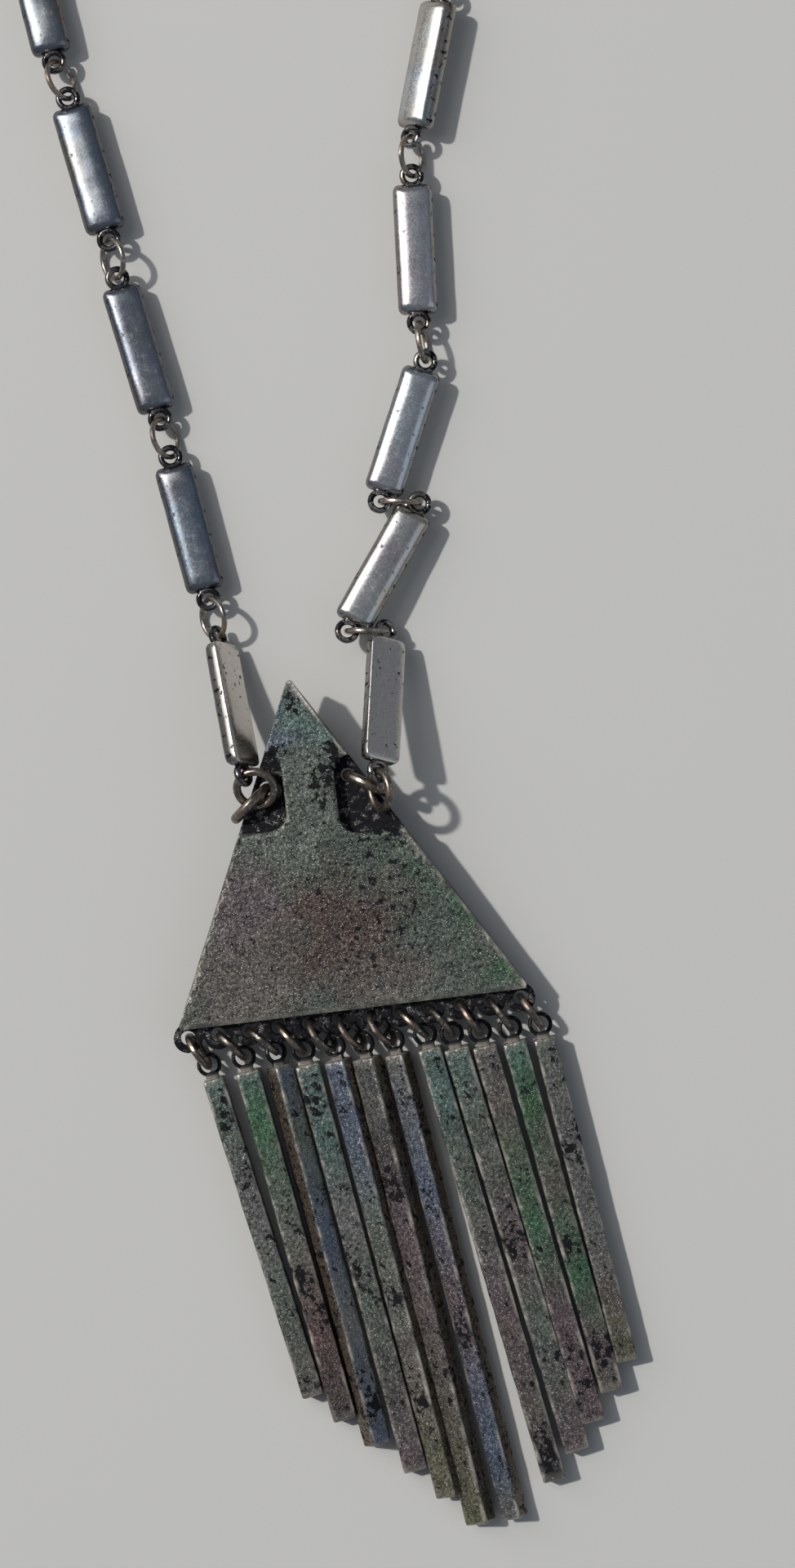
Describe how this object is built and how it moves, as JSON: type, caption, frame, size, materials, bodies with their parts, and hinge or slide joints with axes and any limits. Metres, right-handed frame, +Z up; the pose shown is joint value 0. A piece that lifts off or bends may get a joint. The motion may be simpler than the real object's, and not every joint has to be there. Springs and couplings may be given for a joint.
{
  "type": "pendant necklace",
  "caption": "Pendant necklace: a triangular cast plate with hanging bars on a chain of domed links and wire rings, with a toggle clasp, laid open on its front.",
  "frame": {"origin": "centre of the laid-out necklace's footprint, on the surface it rests on", "axes": "+Z up, out of the resting surface (the back of the plate faces it); +Y from the bars towards the clasp; +X to the right seen from above"},
  "size_m": [0.1181, 0.3041, 0.0127],
  "materials": {
    "plate_casting": "aged and oxidised cast silver alloy, pebbled, with green and brown patches",
    "bar_casting": "aged cast silver alloy, dark with worn bright edges",
    "link_casting": "satin cast silver alloy with dark rims",
    "dark_wire": "darkened silver wire",
    "warm_wire": "darkened silver wire with warm tarnish",
    "clasp_metal": "satin silver alloy"
  },
  "bodies": {
    "pendant_plate": {"pendant_plate": "plate_casting"},
    "left_corner_ring": {"left_corner_ring": "dark_wire"},
    "left_connector_ring": {"left_connector_ring": "warm_wire"},
    "left_link_1": {"left_link_1": "link_casting"},
    "left_link_ring_1": {"left_link_ring_1": "warm_wire"},
    "left_link_2": {"left_link_2": "link_casting"},
    "left_link_ring_2": {"left_link_ring_2": "warm_wire"},
    "left_link_3": {"left_link_3": "link_casting"},
    "left_link_ring_3": {"left_link_ring_3": "warm_wire"},
    "left_link_4": {"left_link_4": "link_casting"},
    "left_link_ring_4": {"left_link_ring_4": "warm_wire"},
    "left_link_5": {"left_link_5": "link_casting"},
    "left_link_ring_5": {"left_link_ring_5": "warm_wire"},
    "left_link_6": {"left_link_6": "link_casting"},
    "left_link_ring_6": {"left_link_ring_6": "warm_wire"},
    "left_link_7": {"left_link_7": "link_casting"},
    "left_link_ring_7": {"left_link_ring_7": "warm_wire"},
    "toggle_ring": {"toggle_ring": "clasp_metal"},
    "right_corner_ring": {"right_corner_ring": "dark_wire"},
    "right_connector_ring": {"right_connector_ring": "warm_wire"},
    "right_link_1": {"right_link_1": "link_casting"},
    "right_link_ring_1": {"right_link_ring_1": "warm_wire"},
    "right_link_2": {"right_link_2": "link_casting"},
    "right_link_ring_2": {"right_link_ring_2": "warm_wire"},
    "right_link_3": {"right_link_3": "link_casting"},
    "right_link_ring_3": {"right_link_ring_3": "warm_wire"},
    "right_link_4": {"right_link_4": "link_casting"},
    "right_link_ring_4": {"right_link_ring_4": "warm_wire"},
    "right_link_5": {"right_link_5": "link_casting"},
    "right_link_ring_5": {"right_link_ring_5": "warm_wire"},
    "right_link_6": {"right_link_6": "link_casting"},
    "right_link_ring_6": {"right_link_ring_6": "warm_wire"},
    "right_link_7": {"right_link_7": "link_casting"},
    "right_link_ring_7": {"right_link_ring_7": "warm_wire"},
    "toggle_bar": {"toggle_bar": "clasp_metal"},
    "bar_ring_1": {"bar_ring_1": "dark_wire"},
    "bar_1": {"bar_1": "bar_casting"},
    "bar_ring_2": {"bar_ring_2": "dark_wire"},
    "bar_2": {"bar_2": "bar_casting"},
    "bar_ring_3": {"bar_ring_3": "dark_wire"},
    "bar_3": {"bar_3": "bar_casting"},
    "bar_ring_4": {"bar_ring_4": "dark_wire"},
    "bar_4": {"bar_4": "bar_casting"},
    "bar_ring_5": {"bar_ring_5": "dark_wire"},
    "bar_5": {"bar_5": "bar_casting"},
    "bar_ring_6": {"bar_ring_6": "dark_wire"},
    "bar_6": {"bar_6": "bar_casting"},
    "bar_ring_7": {"bar_ring_7": "dark_wire"},
    "bar_7": {"bar_7": "bar_casting"},
    "bar_ring_8": {"bar_ring_8": "dark_wire"},
    "bar_8": {"bar_8": "bar_casting"},
    "bar_ring_9": {"bar_ring_9": "dark_wire"},
    "bar_9": {"bar_9": "bar_casting"},
    "bar_ring_10": {"bar_ring_10": "dark_wire"},
    "bar_10": {"bar_10": "bar_casting"},
    "bar_ring_11": {"bar_ring_11": "dark_wire"},
    "bar_11": {"bar_11": "bar_casting"},
    "bar_ring_12": {"bar_ring_12": "dark_wire"},
    "bar_12": {"bar_12": "bar_casting"}
  },
  "joints": [
    {"name": "left_link_1_swing", "type": "hinge", "parent": "left_connector_ring", "child": "left_link_1", "pos_m": [0.00257, -0.04378, 0.00934], "axis": [-0.7994, -0.3232, -0.5065], "range_deg": [-30, 4]},
    {"name": "right_link_1_swing", "type": "hinge", "parent": "right_connector_ring", "child": "right_link_1", "pos_m": [0.0217, -0.04322, 0.00989], "axis": [-0.5575, -0.2317, -0.7972], "range_deg": [-30, 30]},
    {"name": "left_corner_ring_turn", "type": "hinge", "parent": "pendant_plate", "child": "left_corner_ring", "pos_m": [0.00347, -0.0479, 0.00605], "axis": [-0.7071, 0.7071, 0], "range_deg": [-30, 5]},
    {"name": "right_corner_ring_turn", "type": "hinge", "parent": "pendant_plate", "child": "right_corner_ring", "pos_m": [0.02014, -0.04503, 0.00609], "axis": [-0.4067, -0.9135, 0], "range_deg": [-8, 30]},
    {"name": "left_connector_ring_turn", "type": "hinge", "parent": "left_corner_ring", "child": "left_connector_ring", "pos_m": [0.0042, -0.0458, 0.0086], "axis": [0.1028, 0.4165, -0.9033], "range_deg": [-30, 2]},
    {"name": "right_connector_ring_turn", "type": "hinge", "parent": "right_corner_ring", "child": "right_connector_ring", "pos_m": [0.022, -0.0459, 0.00975], "axis": [0.8578, 0.1217, -0.4994], "range_deg": [-16, 30]},
    {"name": "bar_ring_1_turn", "type": "hinge", "parent": "pendant_plate", "child": "bar_ring_1", "pos_m": [-0.00573, -0.08181, 0.00409], "axis": [-0.9925, -0.1219, 0], "range_deg": [-8, 30]},
    {"name": "bar_1_swing", "type": "hinge", "parent": "bar_ring_1", "child": "bar_1", "pos_m": [-0.00284, -0.08579, 0.0024], "axis": [0.9537, 0.3007, 0], "range_deg": [-15, 12]},
    {"name": "bar_ring_6_turn", "type": "hinge", "parent": "pendant_plate", "child": "bar_ring_6", "pos_m": [0.01611, -0.07913, 0.00409], "axis": [-0.9925, -0.1219, 0], "range_deg": [-5, 30]},
    {"name": "bar_6_swing", "type": "hinge", "parent": "bar_ring_6", "child": "bar_6", "pos_m": [0.01956, -0.0827, 0.00254], "axis": [0.9699, 0.2436, 0], "range_deg": [-5, 0]},
    {"name": "bar_7_swing", "type": "hinge", "parent": "bar_ring_7", "child": "bar_7", "pos_m": [0.02392, -0.08216, 0.00253], "axis": [0.969, 0.247, 0], "range_deg": [-5, 12]},
    {"name": "bar_12_swing", "type": "hinge", "parent": "bar_ring_12", "child": "bar_12", "pos_m": [0.0452, -0.07989, 0.0024], "axis": [0.9681, 0.2504, 0], "range_deg": [-15, 12]},
    {"name": "bar_3_swing", "type": "hinge", "parent": "bar_ring_3", "child": "bar_3", "pos_m": [0.00682, -0.08394, 0.00258], "axis": [0.9681, 0.2504, 0], "range_deg": [-15, 12]},
    {"name": "bar_ring_3_turn", "type": "hinge", "parent": "pendant_plate", "child": "bar_ring_3", "pos_m": [0.00301, -0.08074, 0.00409], "axis": [-0.9925, -0.1219, 0], "range_deg": [-8, 30]},
    {"name": "left_link_ring_1_swing", "type": "hinge", "parent": "left_link_1", "child": "left_link_ring_1", "pos_m": [-0.00153, -0.02384, 0.00308], "axis": [0.7994, 0.3232, 0.5065], "range_deg": [-20, 20]},
    {"name": "left_link_2_fold", "type": "hinge", "parent": "left_link_ring_1", "child": "left_link_2", "pos_m": [-0.00222, -0.02108, 0.00298], "axis": [-0.7899, -0.1758, 0.5874], "range_deg": [-30, 30]},
    {"name": "right_link_ring_1_swing", "type": "hinge", "parent": "right_link_1", "child": "right_link_ring_1", "pos_m": [0.02276, -0.023, 0.00327], "axis": [0.5575, 0.2317, 0.7972], "range_deg": [-16, 16]},
    {"name": "right_link_2_fold", "type": "hinge", "parent": "right_link_ring_1", "child": "right_link_2", "pos_m": [0.01997, -0.023, 0.00386], "axis": [0, 1, 0], "range_deg": [-30, 30]},
    {"name": "left_link_ring_3_swing", "type": "hinge", "parent": "left_link_3", "child": "left_link_ring_3", "pos_m": [-0.01612, 0.02814, 0.00288], "axis": [0.0667, 0.0204, 0.9976], "range_deg": [-20, 20]},
    {"name": "left_link_4_fold", "type": "hinge", "parent": "left_link_ring_3", "child": "left_link_4", "pos_m": [-0.01676, 0.03091, 0.00288], "axis": [0.8078, 0.1865, -0.5592], "range_deg": [-30, 30]},
    {"name": "right_link_ring_4_swing", "type": "hinge", "parent": "right_link_4", "child": "right_link_ring_4", "pos_m": [0.02654, 0.04296, 0.00301], "axis": [-0.0006, 0.0122, 0.9999], "range_deg": [-20, 20]},
    {"name": "right_link_5_fold", "type": "hinge", "parent": "right_link_ring_4", "child": "right_link_5", "pos_m": [0.02654, 0.04581, 0.00301], "axis": [0.848, 0, 0.5299], "range_deg": [-30, 30]},
    {"name": "toggle_ring_fold", "type": "hinge", "parent": "left_link_ring_7", "child": "toggle_ring", "pos_m": [-0.0481, 0.13417, 0.00288], "axis": [-0.7687, -0.3106, 0.5592], "range_deg": [-30, 30]},
    {"name": "toggle_bar_fold", "type": "hinge", "parent": "right_link_ring_7", "child": "toggle_bar", "pos_m": [0.04707, 0.12394, 0.00301], "axis": [0.779, -0.2835, 0.5592], "range_deg": [-30, 30]},
    {"name": "left_link_ring_7_swing", "type": "hinge", "parent": "left_link_7", "child": "left_link_ring_7", "pos_m": [-0.04703, 0.13153, 0.00288], "axis": [0, 0, -1], "range_deg": [-20, 20]},
    {"name": "right_link_ring_7_swing", "type": "hinge", "parent": "right_link_7", "child": "right_link_ring_7", "pos_m": [0.0461, 0.12127, 0.00301], "axis": [0, 0, 1], "range_deg": [-20, 20]},
    {"name": "left_link_ring_5_swing", "type": "hinge", "parent": "left_link_5", "child": "left_link_ring_5", "pos_m": [-0.03038, 0.08019, 0.00288], "axis": [0, 0, -1], "range_deg": [-20, 20]},
    {"name": "left_link_6_fold", "type": "hinge", "parent": "left_link_ring_5", "child": "left_link_6", "pos_m": [-0.03107, 0.08295, 0.00288], "axis": [0.8044, 0.2006, -0.5592], "range_deg": [-30, 30]},
    {"name": "right_link_6_fold", "type": "hinge", "parent": "right_link_ring_5", "child": "right_link_6", "pos_m": [0.03129, 0.07234, 0.00301], "axis": [-0.8721, 0.2174, -0.4384], "range_deg": [-30, 30]},
    {"name": "left_link_ring_2_swing", "type": "hinge", "parent": "left_link_2", "child": "left_link_ring_2", "pos_m": [-0.00842, 0.00226, 0.00288], "axis": [0, 0, 1], "range_deg": [-20, 20]},
    {"name": "left_link_3_fold", "type": "hinge", "parent": "left_link_ring_2", "child": "left_link_3", "pos_m": [-0.00916, 0.00501, 0.00288], "axis": [0.8008, 0.2146, 0.5592], "range_deg": [-30, 30]},
    {"name": "left_link_ring_4_swing", "type": "hinge", "parent": "left_link_4", "child": "left_link_ring_4", "pos_m": [-0.02327, 0.05416, 0.00288], "axis": [0.0503, 0.0144, -0.9986], "range_deg": [-20, 20]},
    {"name": "left_link_5_fold", "type": "hinge", "parent": "left_link_ring_4", "child": "left_link_5", "pos_m": [-0.02425, 0.05684, 0.00288], "axis": [-0.779, -0.2835, -0.5592], "range_deg": [-30, 30]},
    {"name": "left_link_ring_6_swing", "type": "hinge", "parent": "left_link_6", "child": "left_link_ring_6", "pos_m": [-0.03798, 0.10609, 0.00288], "axis": [0, 0, -1], "range_deg": [-20, 20]},
    {"name": "left_link_7_fold", "type": "hinge", "parent": "left_link_ring_6", "child": "left_link_7", "pos_m": [-0.03886, 0.1088, 0.00288], "axis": [0.7885, 0.2562, 0.5592], "range_deg": [-30, 30]},
    {"name": "right_link_ring_2_swing", "type": "hinge", "parent": "right_link_2", "child": "right_link_ring_2", "pos_m": [0.02766, -0.00449, 0.00327], "axis": [0.0275, 0.0486, 0.9984], "range_deg": [-20, 6]},
    {"name": "right_link_3_fold", "type": "hinge", "parent": "right_link_ring_2", "child": "right_link_3", "pos_m": [0.02481, -0.00434, 0.00327], "axis": [-0.0523, -0.9986, 0], "range_deg": [-30, 30]},
    {"name": "right_link_ring_3_swing", "type": "hinge", "parent": "right_link_3", "child": "right_link_ring_3", "pos_m": [0.02855, 0.01606, 0.00327], "axis": [0, 0, 1], "range_deg": [-20, 20]},
    {"name": "right_link_4_fold", "type": "hinge", "parent": "right_link_ring_3", "child": "right_link_4", "pos_m": [0.0281, 0.01888, 0.00327], "axis": [-0.9661, -0.153, -0.2079], "range_deg": [-30, 30]},
    {"name": "right_link_ring_5_swing", "type": "hinge", "parent": "right_link_5", "child": "right_link_ring_5", "pos_m": [0.0306, 0.06957, 0.00301], "axis": [0.631, -0.1226, -0.766], "range_deg": [-20, 20]},
    {"name": "right_link_ring_6_swing", "type": "hinge", "parent": "right_link_6", "child": "right_link_ring_6", "pos_m": [0.0375, 0.09568, 0.00301], "axis": [0, 0, -1], "range_deg": [-20, 20]},
    {"name": "right_link_7_fold", "type": "hinge", "parent": "right_link_ring_6", "child": "right_link_7", "pos_m": [0.03833, 0.0984, 0.00301], "axis": [0.7928, -0.2424, -0.5592], "range_deg": [-30, 30]},
    {"name": "bar_ring_2_turn", "type": "hinge", "parent": "pendant_plate", "child": "bar_ring_2", "pos_m": [-0.00136, -0.08127, 0.00409], "axis": [-0.9925, -0.1219, 0], "range_deg": [-8, 30]},
    {"name": "bar_2_swing", "type": "hinge", "parent": "bar_ring_2", "child": "bar_2", "pos_m": [0.00218, -0.08469, 0.0024], "axis": [0.9636, 0.2672, 0], "range_deg": [-15, 12]},
    {"name": "bar_ring_4_turn", "type": "hinge", "parent": "pendant_plate", "child": "bar_ring_4", "pos_m": [0.00737, -0.0802, 0.00409], "axis": [-0.9925, -0.1219, 0], "range_deg": [-8, 30]},
    {"name": "bar_4_swing", "type": "hinge", "parent": "bar_ring_4", "child": "bar_4", "pos_m": [0.01085, -0.08368, 0.0024], "axis": [0.9668, 0.2554, 0], "range_deg": [-15, 12]},
    {"name": "bar_ring_5_turn", "type": "hinge", "parent": "pendant_plate", "child": "bar_ring_5", "pos_m": [0.01174, -0.07967, 0.00409], "axis": [-0.9925, -0.1219, 0], "range_deg": [0, 30]},
    {"name": "bar_5_swing", "type": "hinge", "parent": "bar_ring_5", "child": "bar_5", "pos_m": [0.01536, -0.08304, 0.00251], "axis": [0.9681, 0.2504, 0], "range_deg": [0, 12]},
    {"name": "bar_ring_7_turn", "type": "hinge", "parent": "pendant_plate", "child": "bar_ring_7", "pos_m": [0.02048, -0.07859, 0.00409], "axis": [-0.9925, -0.1219, 0], "range_deg": [-5, 30]},
    {"name": "bar_ring_8_turn", "type": "hinge", "parent": "pendant_plate", "child": "bar_ring_8", "pos_m": [0.02484, -0.07806, 0.00409], "axis": [-0.9925, -0.1219, 0], "range_deg": [-8, 30]},
    {"name": "bar_8_swing", "type": "hinge", "parent": "bar_ring_8", "child": "bar_8", "pos_m": [0.0285, -0.08135, 0.0024], "axis": [0.9593, 0.2823, 0], "range_deg": [-15, 12]},
    {"name": "bar_ring_9_turn", "type": "hinge", "parent": "pendant_plate", "child": "bar_ring_9", "pos_m": [0.02921, -0.07752, 0.00409], "axis": [-0.9925, -0.1219, 0], "range_deg": [-8, 22]},
    {"name": "bar_9_swing", "type": "hinge", "parent": "bar_ring_9", "child": "bar_9", "pos_m": [0.03237, -0.08129, 0.0024], "axis": [0.9558, 0.294, 0], "range_deg": [-15, 12]},
    {"name": "bar_ring_10_turn", "type": "hinge", "parent": "pendant_plate", "child": "bar_ring_10", "pos_m": [0.03358, -0.07698, 0.00409], "axis": [-0.9925, -0.1219, 0], "range_deg": [-8, 30]},
    {"name": "bar_10_swing", "type": "hinge", "parent": "bar_ring_10", "child": "bar_10", "pos_m": [0.03647, -0.08096, 0.0024], "axis": [0.9588, 0.284, 0], "range_deg": [-15, 12]},
    {"name": "bar_ring_11_turn", "type": "hinge", "parent": "pendant_plate", "child": "bar_ring_11", "pos_m": [0.03794, -0.07645, 0.00409], "axis": [-0.9925, -0.1219, 0], "range_deg": [-8, 30]},
    {"name": "bar_11_swing", "type": "hinge", "parent": "bar_ring_11", "child": "bar_11", "pos_m": [0.04083, -0.08043, 0.0024], "axis": [0.9636, 0.2672, 0], "range_deg": [-15, 12]},
    {"name": "bar_ring_12_turn", "type": "hinge", "parent": "pendant_plate", "child": "bar_ring_12", "pos_m": [0.04231, -0.07591, 0.00409], "axis": [-0.9925, -0.1219, 0], "range_deg": [-8, 30]}
  ]
}
